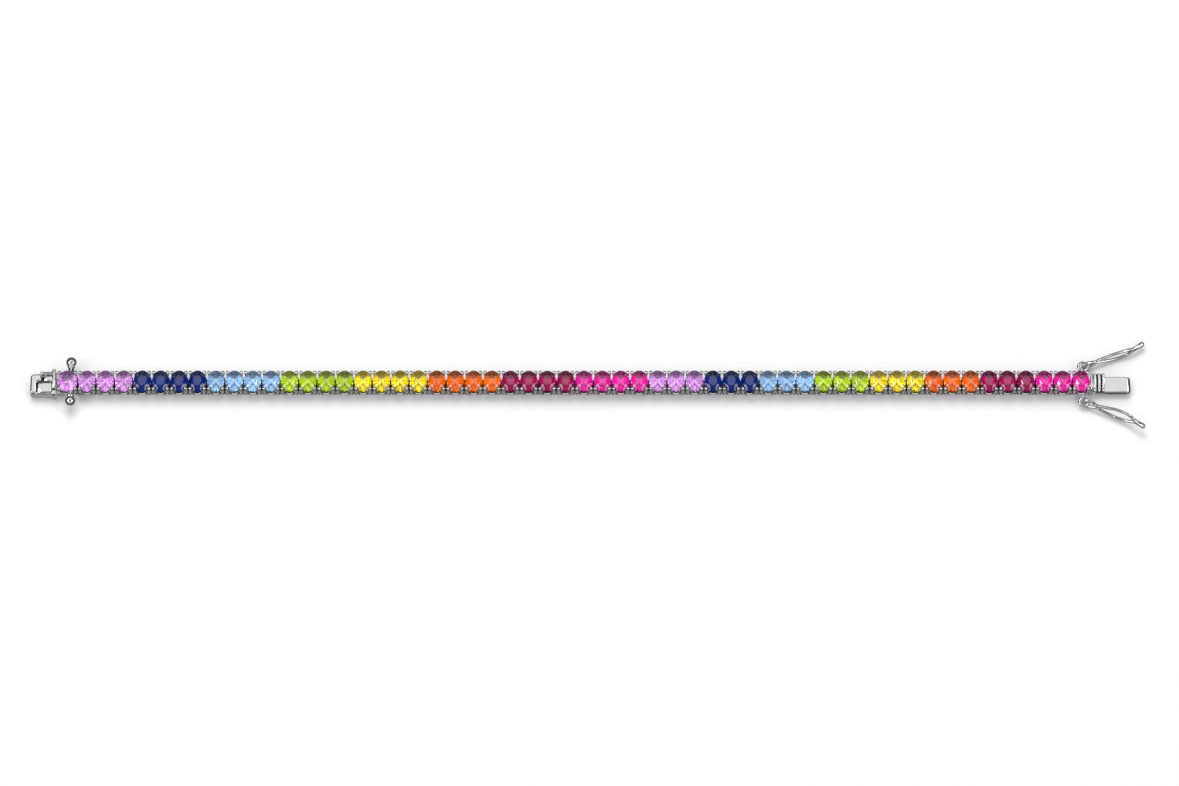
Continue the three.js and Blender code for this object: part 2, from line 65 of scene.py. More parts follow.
# The cut, in shares of the stone's half width. It has eight main facets above and eight below.
MAIN_ANGLE = 45
HALF_ANGLE = MAIN_ANGLE / 2
TABLE_SHARE = 0.56
TABLE_EDGE = 0.04
GIRDLE_THICKNESS = 0.05
GIRDLE_FACETS = 32
STAR_REACH = 0.77
LOWER_REACH = 0.3

# How much of its place a stone fills in width and in length, how many degrees it may be off true, and
# the steps that give each stone its own tilt
SEAT_PLAY = 0.985
END_PLAY = 0.955
TILT = 1.4
TILT_STEP = 12.9898
TILT_STARTS = (0.0, 2.1, 4.2)

# The stones' finish: how strongly the crown bends light and lets it through, and how bright the painted glow
# in the depth is, which lightens the stones' dark far ends
BENDING = 1.95
CLEARNESS = 1.0
DEPTH_PAINTED_GLOW = 0.09
DEPTH_ROUGHNESS = 0.12

# Baskets: the base cup, the gallery rail above it and a thin dark sheet, painted shadow that closes the view
# to the floor
BASE_INSET = 0.55 * MM
CUP_TOP = 1.18 * MM
GALLERY_LEVEL = 1.7 * MM
RAIL_HEIGHT = 0.34 * MM
RAIL_THICKNESS = 0.3 * MM
RAIL_INSET = 0.08 * MM
RAIL_FLAT = 0.55
RAIL_SHOULDER = 0.5
SHADOW_SHEET_GAP = 0.05 * MM
SHADOW_SHEET_SIDE = 1.55 * MM
SHADOW_SHEET_LOW = 0.2 * MM
SHADOW_SHEET_THICKNESS = 0.25 * MM

# Claws: each goes up through these places, given as shares of how far out its bead stands, with its
# radius as a share of the post's diameter
CLAW_X = 0.29 * MM
CLAW_Y = 1.5 * MM
CLAW_LEVEL = 2.7 * MM
CLAW_BEAD = 0.66 * MM
CLAW_BEAD_FLATNESS = 0.9
CLAW_POST = 0.5 * MM
CLAW_STATIONS = [
    {"x": 0.80, "y": 0.90, "level": 0.10 * MM, "radius": 0.40},
    {"x": 0.88, "y": 0.96, "level": 0.80 * MM, "radius": 0.44},
    {"x": 1.00, "y": 1.07, "level": 1.50 * MM, "radius": 0.50},
    {"x": 1.04, "y": 1.09, "level": 2.10 * MM, "radius": 0.52},
    {"x": 1.00, "y": 1.00, "level": CLAW_LEVEL, "radius": 0.45},
]

# Hinges: their webs meet the round baskets this many degrees off the side, and are sunk in a little
WALL_TURN = 31.5
WEB_SINK = 0.05 * MM
HINGE_LEVEL = 0.5 * MM
HINGE_LENGTH = 1.6 * MM
KNUCKLE = 0.9 * MM
KNUCKLE_LENGTH = 0.7 * MM
RUNNING_GAP = 0.09 * MM
PIN = 0.34 * MM
WEB = 0.6 * MM
RIDGE = 0.18 * MM

# The stones' colours in their order along the bracelet, as linear red, green and blue
COLOURS = [
    {"name": "lavender", "crown": (0.92, 0.76, 0.95), "depth": (0.90, 0.60, 0.96), "slot": "lavender_stone"},
    {"name": "dark_blue", "crown": (0.03, 0.26, 0.60), "depth": (0.002, 0.15, 0.50), "slot": None},
    {"name": "light_blue", "crown": (0.76, 0.88, 1.0), "depth": (0.60, 0.78, 0.98), "slot": None},
    {"name": "green", "crown": (0.84, 0.92, 0.30), "depth": (0.72, 0.85, 0.10), "slot": None},
    {"name": "yellow", "crown": (1.0, 0.95, 0.35), "depth": (1.0, 0.88, 0.10), "slot": None},
    {"name": "orange", "crown": (1.0, 0.58, 0.10), "depth": (1.0, 0.42, 0.02), "slot": None},
    {"name": "ruby", "crown": (0.80, 0.04, 0.50), "depth": (0.66, 0.01, 0.36), "slot": None},
    {"name": "magenta", "crown": (1.0, 0.26, 0.80), "depth": (0.96, 0.10, 0.66), "slot": "magenta_stone"},
]


def spot(x, y, z):
    return Vector((x, y, z))


# Places read from the CAD model: the stones' centre line and each stone's middle
first_low, first_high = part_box("box_stone")
last_low, last_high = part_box("tongue_stone")
CENTRE_Y = (first_low.y + first_high.y) / 2
FIRST_X = (first_low.x + first_high.x) / 2
LAST_X = (last_low.x + last_high.x) / 2
FIRST_WIDTH = first_high.x - first_low.x
STONES = len(COLOURS) * (LONG_RUN + SHORT_RUN)
MIDDLES = [FIRST_X] + [LAST_X - STONE_PITCH * (STONES - 1 - i) for i in range(1, STONES)]
LONG_STONES = len(COLOURS) * LONG_RUN


def colour_of(i):
    """The place of stone i in the table of colours."""
    if i < LONG_STONES:
        return i // LONG_RUN
    return (i - LONG_STONES) // SHORT_RUN


# Making pieces

def piece(name, bm, materials, body="bracelet", smooth=40, replaces=()):
    """A finished piece from a bmesh, with its sharp edges kept sharp."""
    bmesh.ops.recalc_face_normals(bm, faces=bm.faces)
    mesh = bpy.data.meshes.new(name)
    bm.to_mesh(mesh)
    bm.free()
    for face in mesh.polygons:
        face.use_smooth = smooth > 0
    if smooth:
        mesh.set_sharp_from_angle(angle=math.radians(smooth))
    made = bpy.data.objects.new(name, mesh)
    bpy.context.scene.collection.objects.link(made)
    for material in materials:
        mesh.materials.append(material)
    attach(made, body)
    if replaces:
        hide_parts(*replaces)
    return made


def add(bm, source, matrix):
    """Adds a copy of a mesh to a bmesh, moved by a matrix."""
    copy = source.copy()
    copy.transform(matrix)
    bm.from_mesh(copy)
    bpy.data.meshes.remove(copy)


def mesh_of(bm, name):
    """A mesh from a bmesh, to be repeated."""
    mesh = bpy.data.meshes.new(name)
    bm.to_mesh(mesh)
    bm.free()
    return mesh


def sweep(bm, ring, places):
    """Carries a closed ring of edges from the first place through the others, and caps both ends."""
    bm.faces.new(ring["verts"])
    edges = list(dict.fromkeys(edge for vert in ring["verts"] for edge in vert.link_edges))
    for near, far in zip(places, places[1:]):
        grown = bmesh.ops.extrude_edge_only(bm, edges=edges)["geom"]
        verts = [g for g in grown if isinstance(g, bmesh.types.BMVert)]
        edges = [g for g in grown if isinstance(g, bmesh.types.BMEdge)]
        bmesh.ops.transform(bm, matrix=far @ near.inverted(), verts=verts)
    bmesh.ops.edgeloop_fill(bm, edges=edges)


def tube(bm, points, radii, sides=10):
    """A round wire through points, with a radius at each, closed at its ends."""
    places = []
    across = None
    for i, (point, radius) in enumerate(zip(points, radii)):
        along = (points[min(i + 1, len(points) - 1)] - points[max(i - 1, 0)]).normalized()
        across = along.orthogonal() if across is None else across - along * across.dot(along)
        across.normalize()
        turn = Matrix((across, along.cross(across), along)).transposed().to_4x4()
        places.append(Matrix.Translation(point) @ turn @ Matrix.Diagonal((radius, radius, radius, 1)))
    ring = bmesh.ops.create_circle(bm, segments=sides, radius=1, matrix=places[0])
    sweep(bm, ring, places)


def smooth_path(points, steps):
    """A smooth curve through points, with steps pieces between each two."""
    found = []
    last = len(points) - 1
    for i in range(last):
        a, b, c, d = points[max(i - 1, 0)], points[i], points[i + 1], points[min(i + 2, last)]
        for k in range(steps):
            t = k / steps
            square = (2 * a - 5 * b + 4 * c - d) * t * t
            cube = (3 * b - a - 3 * c + d) * t ** 3
            found.append(0.5 * (2 * b + (c - a) * t + square + cube))
    return found + [points[-1]]


def bevel(bm, verts, offset, segments=2, sharper_than=25):
    """Rounds the sharp edges between these vertices."""
    known = set(verts)
    edges = [
        edge for edge in dict.fromkeys(edge for vert in verts for edge in vert.link_edges)
        if edge.verts[0] in known and edge.verts[1] in known
        and edge.calc_face_angle(0) > math.radians(sharper_than)
    ]
    bmesh.ops.bevel(
        bm, geom=edges, offset=offset, offset_type="OFFSET", segments=segments,
        profile=0.5, affect="EDGES", material=-1, clamp_overlap=True,
    )


def slab(bm, low, high, edge=EDGE, segments=2):
    """A block between two corners, with rounded edges."""
    low, high = Vector(low), Vector(high)
    place = Matrix.Translation((low + high) / 2) @ Matrix.Diagonal((*(high - low), 1))
    made = bmesh.ops.create_cube(bm, size=1, matrix=place)
    bevel(bm, made["verts"], edge, segments)


def rod(bm, start, end, diameter, sides=16, edge=0.0):
    """A round bar between two points, with its ends rounded where an edge is given."""
    start, end = Vector(start), Vector(end)
    along = end - start
    turn = along.to_track_quat("Z", "Y").to_matrix().to_4x4()
    made = bmesh.ops.create_cone(
        bm, cap_ends=True, segments=sides, radius1=diameter / 2, radius2=diameter / 2,
        depth=along.length, matrix=Matrix.Translation((start + end) / 2) @ turn,
    )
    if edge:
        bevel(bm, made["verts"], edge, sharper_than=60)


def prism(bm, outline, low, high, edge=EDGE, segments=2):
    """An outline of points in the XY plane, drawn up from low to high, with rounded edges."""
    verts = [bm.verts.new((x, y, low)) for x, y in outline]
    base = bm.faces.new(verts)
    grown = bmesh.ops.extrude_face_region(bm, geom=[base])["geom"]
    top = [g for g in grown if isinstance(g, bmesh.types.BMVert)]
    bmesh.ops.translate(bm, vec=(0, 0, high - low), verts=top)
    faces = dict.fromkeys(face for vert in verts + top for face in vert.link_faces)
    bmesh.ops.recalc_face_normals(bm, faces=list(faces))
    bevel(bm, verts + top, edge, segments)


@contextmanager
def painted_shade(bm):
    """Faces that are added within this block get the second finish, silver painted dark as shade."""
    known = set(bm.faces)
    yield
    for face in set(bm.faces) - known:
        face.material_index = 1


def corner(x, y, radius, start, steps=5):
    """Points of a quarter round in the XY plane about a middle, from a starting angle."""
    angles = [math.radians(start + 90 * k / steps) for k in range(steps + 1)]
    return [(x + radius * math.cos(a), y + radius * math.sin(a)) for a in angles]


def full_turn(bm, verts, edges, steps):
    """Carries a profile all the way round the upright axis, and gives the vertices that this makes."""
    known = set(bm.verts) - set(verts)
    bmesh.ops.spin(
        bm, geom=verts + edges, cent=(0, 0, 0), axis=(0, 0, 1), dvec=(0, 0, 0),
        angle=2 * math.pi, steps=steps, use_merge=True, use_duplicate=False,
    )
    return [vert for vert in bm.verts if vert not in known]


def turned(bm, profile, place, steps=24):
    """A profile of radius and height turned about its own axis, which a matrix then places."""
    verts = [bm.verts.new((radius, 0, height)) for radius, height in profile]
    edges = [bm.edges.new(pair) for pair in zip(verts, verts[1:])]
    made = full_turn(bm, verts, edges, steps)
    bmesh.ops.remove_doubles(bm, verts=made, dist=1e-6)
    made = [vert for vert in made if vert.is_valid]
    bmesh.ops.transform(bm, matrix=place, verts=made)


def oval_rail(bm, half_x, half_y, low, high, lean=0.0, steps=40):
    """An oval band round the stone's axis, rounded at its edges; it leans out by lean from low to high."""
    r = RAIL_THICKNESS / 2
    flat = r * RAIL_FLAT
    shoulder = r * RAIL_SHOULDER
    section = [
        (-flat, low), (flat, low), (r, low + shoulder), (r, high - shoulder),
        (flat, high), (-flat, high), (-r, high - shoulder), (-r, low + shoulder),
    ]
    verts = []
    for x, z in section:
        leaned = (z - low) / (high - low) * lean
        verts.append(bm.verts.new((half_x - r + x + leaned, 0, z)))
    edges = [bm.edges.new((verts[k - 1], verts[k])) for k in range(len(verts))]
    for vert in full_turn(bm, verts, edges, steps):
        reach = math.hypot(vert.co.x, vert.co.y)
        vert.co.y += (half_y - half_x) * vert.co.y / reach


# The stones' cut

def cut_stone():
    """A round brilliant of radius one, cut from a cylinder facet by facet, girdle at height zero."""
    crown = (TABLE_LEVEL - GIRDLE_LEVEL) / (STONE_WIDTH / 2)
    pavilion = (GIRDLE_LEVEL - CULET_LEVEL) / (STONE_WIDTH / 2)
    rim = GIRDLE_THICKNESS / 2

    def at(radius, degrees, height):
        t = math.radians(degrees)
        return spot(radius * math.cos(t), radius * math.sin(t), height)

    def on_main(radius, height, inner):
        """The height over the line where two main facets meet, halfway between them."""
        share = (1 - radius * math.cos(math.radians(HALF_ANGLE))) / (1 - inner)
        return rim + (height - rim) * share

    def down(p):
        return spot(p.x, p.y, -p.z)

    # along the girdle's upper edge: a main facet touches it at the start, and nearby is a degree on
    start, end = at(1, 0, rim), at(1, MAIN_ANGLE, rim)
    nearby, half = at(1, 1, rim), at(1, HALF_ANGLE, rim)
    table_start, table_end = at(TABLE_SHARE, 0, crown), at(TABLE_SHARE, MAIN_ANGLE, crown)
    star = at(STAR_REACH, HALF_ANGLE, on_main(STAR_REACH, crown, TABLE_SHARE))
    low = at(LOWER_REACH, HALF_ANGLE, on_main(LOWER_REACH, pavilion, 0.0))
    facets = [
        # the crown's mains, stars and halves
        ((start, nearby, table_start), 1),
        ((star, table_start, table_end), 1),
        ((start, half, star), 1),
        ((half, end, star), 1),
        # the pavilion's halves and mains
        ((start, half, low), -1),
        ((half, end, low), -1),
        ((start, nearby, spot(0, 0, pavilion)), -1),
    ]
    bm = bmesh.new()
    bmesh.ops.create_cone(
        bm, cap_ends=True, segments=GIRDLE_FACETS, radius1=1, radius2=1, depth=crown + pavilion,
        matrix=Matrix.Translation((0, 0, (crown - pavilion) / 2)),
    )
    for (a, b, c), side in facets:
        if side < 0:
            a, b, c = down(a), down(b), down(c)
        normal = (b - a).cross(c - a).normalized()
        if normal.z * side < 0:
            normal = -normal
        for degrees in range(0, 360, MAIN_ANGLE):
            turn = Matrix.Rotation(math.radians(degrees), 3, "Z")
            cut = bmesh.ops.bisect_plane(
                bm, geom=bm.verts[:] + bm.edges[:] + bm.faces[:], dist=1e-6,
                plane_co=turn @ a, plane_no=turn @ normal, clear_outer=True,
            )["geom_cut"]
            if any(isinstance(element, bmesh.types.BMEdge) for element in cut):
                bmesh.ops.holes_fill(bm, edges=[edge for edge in bm.edges if edge.is_boundary])
    bmesh.ops.remove_doubles(bm, verts=bm.verts, dist=1e-4)
    bmesh.ops.recalc_face_normals(bm, faces=bm.faces)
    # only the table faces straight up
    table = [face for face in bm.faces if face.normal.z > 0.999]
    bmesh.ops.bevel(
        bm, geom=[edge for face in table for edge in face.edges], offset=TABLE_EDGE, offset_type="OFFSET",
        segments=1, profile=0.5, affect="EDGES", material=-1, clamp_overlap=True,
    )
    # the facets under the girdle get the second finish
    for face in bm.faces:
        face.material_index = int(face.normal.z < -0.1)
    return mesh_of(bm, "brilliant")


def stone_place(i):
    """Where stone i sits and how it is turned: each is set by hand, so each is a little off."""
    width = FIRST_WIDTH if i == 0 else STONE_WIDTH
    rock = [math.radians(TILT * math.sin(TILT_STEP * i + start)) for start in TILT_STARTS]
    return (
        Matrix.Translation((MIDDLES[i], CENTRE_Y, GIRDLE_LEVEL))
        @ Matrix.Rotation(rock[0], 4, "X")
        @ Matrix.Rotation(rock[1], 4, "Y")
        @ Matrix.Diagonal((SEAT_PLAY * width / 2, END_PLAY * STONE_LENGTH / 2, STONE_WIDTH / 2, 1))
        @ Matrix.Rotation(rock[2] * 2, 4, "Z")
    )


# Baskets

def claw(bm, width, side_x, side_y):
    """A claw: a post at a corner of the basket, which leans in over the stone's edge and ends in a bead."""
    x, y = side_x * (width / 2 - CLAW_X), side_y * CLAW_Y
    path = [spot(x * station["x"], y * station["y"], station["level"]) for station in CLAW_STATIONS]
    radii = [CLAW_POST * station["radius"] for station in CLAW_STATIONS]
    tube(bm, path, radii, sides=8)
    bmesh.ops.create_uvsphere(
        bm, u_segments=10, v_segments=7, radius=CLAW_BEAD / 2,
        matrix=Matrix.Translation(path[-1]) @ Matrix.Diagonal((1, 1, CLAW_BEAD_FLATNESS, 1)),
    )


def basket(width):
    """A stone's basket: a base cup, a gallery rail that shows as a thin bright edge, and four claws."""
    bm = bmesh.new()
    half_x, half_y = width / 2, STONE_LENGTH / 2
    lean = BASE_INSET * CUP_TOP / GALLERY_LEVEL
    oval_rail(bm, half_x - BASE_INSET, half_y - BASE_INSET, 0.0, CUP_TOP, lean)
    oval_rail(bm, half_x - RAIL_INSET, half_y, GALLERY_LEVEL - RAIL_HEIGHT, GALLERY_LEVEL)
    # A thin dark sheet under the stone: painted shadow where the floor would show between the baskets
    side = half_x - SHADOW_SHEET_GAP
    with painted_shade(bm):
        slab(bm, (-side, -SHADOW_SHEET_SIDE, SHADOW_SHEET_LOW), (side, SHADOW_SHEET_SIDE, SHADOW_SHEET_LOW + SHADOW_SHEET_THICKNESS), EDGE, 1)
    for side_x in (-1, 1):
        for side_y in (-1, 1):
            claw(bm, width, side_x, side_y)
    return bm


def side_wall(width):
    """How far a basket's side stands from its middle at the hinge."""
    inset = BASE_INSET * (1 - HINGE_LEVEL / GALLERY_LEVEL)
    return (width / 2 - inset) * math.cos(math.radians(WALL_TURN)) - WEB_SINK


def hinge(bm, near, far):
    """The hinge between two baskets whose walls are at near and far: three knuckles on a pin."""
    axis = (near + far) / 2
    half = KNUCKLE_LENGTH / 2
    inside = half + RUNNING_GAP
    outside = HINGE_LENGTH / 2
    low, high = HINGE_LEVEL - WEB / 2, HINGE_LEVEL + WEB / 2
    # The knuckles, their webs and the pin get the dark silver: painted shade in the gaps between the stones
    with painted_shade(bm):
        for y1, y2, wall in ((-half, half, far), (-outside, -inside, near), (inside, outside, near)):
            rod(bm, (axis, y1, HINGE_LEVEL), (axis, y2, HINGE_LEVEL), KNUCKLE, 12, EDGE)
            slab(bm, (min(axis, wall), y1, low), (max(axis, wall), y2, high), EDGE, 1)
        rod(bm, (axis, -outside, HINGE_LEVEL), (axis, outside, HINGE_LEVEL), PIN, 10)
    top = HINGE_LEVEL + KNUCKLE / 2
    for y1, y2 in ((-outside, -inside), (-half, half), (inside, outside)):
        rod(bm, (axis, y1, top), (axis, y2, top), RIDGE, 6)


# Materials

def nodes_of(material):
    material.use_nodes = True
    tree = material.node_tree
    return tree, tree.nodes["Principled BSDF"]


def add_node(tree, kind, **values):
    node = tree.nodes.new(kind)
    for name, value in values.items():
        if hasattr(node, name):
            setattr(node, name, value)
        else:
            node.inputs[name.replace("_", " ")].default_value = value
    return node


def ramp(tree, factor, stops):
    node = tree.nodes.new("ShaderNodeValToRGB")
    elements = node.color_ramp.elements
    while len(elements) < len(stops):
        elements.new(0.5)
    for element, (place, colour) in zip(elements, stops):
        element.position = place
        element.color = (*colour, 1)
    tree.links.new(factor, node.inputs["Fac"])
    return node.outputs["Color"]


def grey(v):
    return (v, v, v)


def zoned(tree, scale, shallow, deep):
    """A colour that is deeper in some zones of the piece than in others."""
    place = add_node(tree, "ShaderNodeTexCoord").outputs["Object"]
    zone = add_node(tree, "ShaderNodeTexNoise", Scale=scale, Detail=1.0)
    tree.links.new(place, zone.inputs["Vector"])
    return ramp(tree, zone.outputs["Fac"], [(0.3, deep), (0.7, shallow)])


def dimmer(colour, share):
    return tuple(share * part for part in colour)


def polished_silver(name):
    """Rhodium-plated silver: bright, with faint polishing swirls and a little haze in places."""
    tint = (0.93, 0.935, 0.94)
    material = bpy.data.materials.new(name)
    tree, shader = nodes_of(material)
    shader.inputs["Metallic"].default_value = 1
    place = add_node(tree, "ShaderNodeTexCoord").outputs["Object"]
    haze = add_node(tree, "ShaderNodeTexNoise", Scale=900.0, Detail=4.0, Roughness=0.6)
    tree.links.new(place, haze.inputs["Vector"])
    dullness = ramp(tree, haze.outputs["Fac"], [(0.35, grey(0.05)), (0.7, grey(0.14))])
    tree.links.new(dullness, shader.inputs["Roughness"])
    tone = ramp(tree, haze.outputs["Fac"], [(0.3, dimmer(tint, 0.94)), (0.65, tint)])
    tree.links.new(tone, shader.inputs["Base Color"])
    swirl = add_node(tree, "ShaderNodeTexNoise", Scale=2600.0, Detail=2.0)
    tree.links.new(place, swirl.inputs["Vector"])
    bump = add_node(tree, "ShaderNodeBump", Strength=0.05, Distance=0.04 * MM)
    tree.links.new(swirl.outputs["Fac"], bump.inputs["Height"])
    tree.links.new(bump.outputs["Normal"], shader.inputs["Normal"])
    return material


def shaded_silver(name):
    """Silver painted dark as shade, in grooves and inside the clasp, with a tone that varies at random in
    zones.
    """
    material = bpy.data.materials.new(name)
    tree, shader = nodes_of(material)
    tone = zoned(tree, 1400.0, grey(0.10), grey(0.03))
    tree.links.new(tone, shader.inputs["Base Color"])
    shader.inputs["Metallic"].default_value = 1
    shader.inputs["Roughness"].default_value = 0.45
    return material


def crown_finish(name, colour):
    """The crown of a clear cut stone, which lets light in and out and shows a sheen on its facets."""
    material = bpy.data.materials.new(name)
    tree, shader = nodes_of(material)
    tint = zoned(tree, 420.0, colour, dimmer(colour, 0.85))
    tree.links.new(tint, shader.inputs["Base Color"])
    shader.inputs["Roughness"].default_value = 0
    shader.inputs["IOR"].default_value = BENDING
    shader.inputs["Transmission Weight"].default_value = CLEARNESS
    return material


def depth_finish(name, colour):
    """The stone's lower facets, which send the light back up through it in the stone's own colour, and glow
    faintly in it: painted light that lightens the stone's dark far end.
    """
    material = bpy.data.materials.new(name)
    tree, shader = nodes_of(material)
    tint = zoned(tree, 900.0, colour, dimmer(colour, 0.7))
    tree.links.new(tint, shader.inputs["Base Color"])
    # Painted glow in the stone's own colour, though the stone is no lamp
    tree.links.new(tint, shader.inputs["Emission Color"])
    shader.inputs["Emission Strength"].default_value = DEPTH_PAINTED_GLOW
    shader.inputs["Metallic"].default_value = 1
    shader.inputs["Roughness"].default_value = DEPTH_ROUGHNESS
    return material


SILVER = polished_silver("polished_silver")
# The second finish is painted shade: dark silver for hollows and gaps
SHADED = shaded_silver("painted_shade_silver")
METAL = [SILVER, SHADED]

# Stones, all of one colour to a piece; the first and the last stand for CAD nodes of their own
brilliant = cut_stone()
for k, colour in enumerate(COLOURS):
    name = colour["name"]
    crown = crown_finish(f"{name}_crown", colour["crown"])
    depth = depth_finish(f"{name}_depth", colour["depth"])
    colour["finish"] = [crown, depth]
    bm = bmesh.new()
    for i in range(1, STONES - 1):
        if colour_of(i) == k:
            add(bm, brilliant, stone_place(i))
    piece(f"stones_{name}", bm, colour["finish"], smooth=0)

for name, i, node in (("first_stone", 0, "box_stone"), ("last_stone", STONES - 1, "tongue_stone")):
    colour = COLOURS[colour_of(i)]
    bm = bmesh.new()
    add(bm, brilliant, stone_place(i))
    piece(name, bm, colour["finish"], smooth=0, replaces=(node,))

# Settings of the two rows, with the hinges between them
plain_basket = mesh_of(basket(STONE_WIDTH), "basket")
bm = bmesh.new()
hinge(bm, side_wall(STONE_WIDTH), STONE_PITCH - side_wall(STONE_WIDTH))
plain_hinge = mesh_of(bm, "hinge")
for name, node, start, end in (
    ("settings_long", "stone_links_long", 1, LONG_STONES),
    ("settings_short", "stone_links_short", LONG_STONES, STONES - 1),
):
    bm = bmesh.new()
    for i in range(start, end):
        add(bm, plain_basket, Matrix.Translation((MIDDLES[i], CENTRE_Y, 0)))
        add(bm, plain_hinge, Matrix.Translation((MIDDLES[i], CENTRE_Y, 0)))
    piece(name, bm, METAL, replaces=(node,))

# The box clasp: places from the first stone's middle
SINK = 0.1 * MM
BOX_LOW = 0.1 * MM
BOX_TOP = 1.97 * MM
BOX_WALL = 0.3 * MM
BOX_FRONT = -2.11 * MM
BOX_BACK = 1.51 * MM
FRONT_WALL_DROP = 0.12 * MM
FLOOR_ROUND = 0.06 * MM
WALL_ROUND = 0.07 * MM
MOUTH = -6.43 * MM
MOUTH_FRONT_ROUND = 0.4 * MM
MOUTH_BACK_ROUND = 0.7 * MM
CAVITY_LOW = 0.4 * MM
CAVITY_TOP = 1.67 * MM
DECK_LEVEL = 1.47 * MM
DARK_LEVEL = 1.37 * MM
DARK_START = -5.93 * MM
RIM_TOP = 2.13 * MM
RIM_ROUND = 0.28 * MM
RIM_END = -5.38 * MM
RIM_BACK_END = -4.56 * MM
RIM_NOTCH = 0.3 * MM
RIM_NOTCH_WIDTH = 0.1 * MM
RIM_SLOPE = 0.12 * MM
GROOVE = 0.24 * MM
SLOT = 0.34 * MM
PLATE_INSET = 0.06 * MM
PLATE_ROUND = 0.1 * MM
WINDOW_START = -4.42 * MM
WINDOW_FRONT = 0.1 * MM
WINDOW_BACK = 1.31 * MM
SPRING_TOP = 1.69 * MM

# Its back rail, with the shoulder that carries it and the knob at its end
SHOULDER = -4.33 * MM
SHOULDER_ROUND = 0.08 * MM
RAIL_BACK = 1.96 * MM
RAIL_TOP = 2.17 * MM
RAIL_ROD = 0.54 * MM
KNOB = 0.62 * MM
KNOB_X = -4.53 * MM
KNOB_Y = 1.64 * MM
KNOB_TOP = 2.19 * MM
KNOB_ROUND = 0.14 * MM

# Its end plate, which is a frame round the tongue's way, with a bead at the back and a lower block in
# front, and the bars that carry it on the basket
PORTAL_START = -2.65 * MM
PORTAL_END = -2.07 * MM
PORTAL_TOP = 2.37 * MM
PORTAL_SIDE = 2.35 * MM
PORTAL_POST_TOP = 2.07 * MM
PORTAL_POST_ROUND = 0.09 * MM
PORTAL_BAR_FRONT = -1.3 * MM
PORTAL_BAR_ROUND = 0.2 * MM
BEAD = 0.72 * MM
BEAD_LEVEL = 2.05 * MM
BLOCK_START = -2.7 * MM
BLOCK_END = -1.95 * MM
BLOCK_LOW = 1.37 * MM
BLOCK_TOP = 2.25 * MM
BLOCK_ROUND = 0.14 * MM
SHADE_INSET = 0.05 * MM
SHADE_FRONT = -2.25 * MM
SHADE_LOW = 1.47 * MM
SHADE_TOP = 2.02 * MM
CARRIER = 0.42 * MM
CARRIER_END = -0.5 * MM
CARRIER_INSET = 0.25 * MM
CARRIER_START_LEVEL = 1.4 * MM
CARRIER_END_LEVEL = 1.45 * MM

# Ball studs. The collar's table gives its radius as a share of its widest one. Depths under the ball's
# middle are shares of the ball's radius, and the ball begins at the collar's seat.
STUD_LEVEL = 2.25 * MM
STUD_X = 0.6 * MM
STUD_REACH = 1.5 * MM
STUD_SINK = 0.2 * MM
STUD_BALL = 1.83 * MM
STUD_NECK = 0.96 * MM
STUD_NECK_END = 1.16
STUD_COLLAR = 1.36 * MM
STUD_COLLAR_SEAT = 0.86
STUD_COLLAR_STATIONS = [
    {"radius": 0.94, "depth": 1.12},
    {"radius": 1.00, "depth": 1.02},
    {"radius": 0.96, "depth": 0.90},
]
STUD_STEPS = 12
STUD_FOOT = 0.7 * MM
STUD_FOOT_OUT = 0.12 * MM
STUD_FOOT_LOW = 1.4 * MM


def mouth_outline(end_front, end_back):
    """The box's rounded end seen from above, from its front edge round the mouth to its back edge."""
    front, back = MOUTH_FRONT_ROUND, MOUTH_BACK_ROUND
    return (
        [(end_back, BOX_BACK)]
        + corner(MOUTH + back, BOX_BACK - back, back, 90)
        + corner(MOUTH + front, BOX_FRONT + front, front, 180)
        + [(end_front, BOX_FRONT)]
    )


def box_shell(bm, end):
    """The box's floor, its front and back walls, the rim's two posts, and a dark plate inside that paints
    shade in the box's hollow.
    """
    prism(bm, mouth_outline(end, end), BOX_LOW, CAVITY_LOW, FLOOR_ROUND)
    front, back = BOX_FRONT + BOX_WALL, BOX_BACK - BOX_WALL
    top = BOX_TOP - FRONT_WALL_DROP
    slab(bm, (MOUTH + MOUTH_FRONT_ROUND, BOX_FRONT, BOX_LOW), (end, front, top), WALL_ROUND, 3)
    slab(bm, (MOUTH + MOUTH_BACK_ROUND, back, BOX_LOW), (end, BOX_BACK, DECK_LEVEL))
    for y, radius, start in (
        (BOX_FRONT + MOUTH_FRONT_ROUND, MOUTH_FRONT_ROUND, 180),
        (BOX_BACK - MOUTH_BACK_ROUND, MOUTH_BACK_ROUND, 90),
    ):
        outer = corner(MOUTH + radius, y, radius, start, 6)
        inner = corner(MOUTH + radius, y, radius - BOX_WALL, start, 6)
        prism(bm, outer + inner[::-1], BOX_LOW, CAVITY_TOP + SINK, FINE_EDGE)
    # A dark plate under the deck: painted shade inside the box
    with painted_shade(bm):
        slab(bm, (DARK_START, front, DARK_LEVEL), (end, back, DECK_LEVEL), FINE_EDGE, 1)


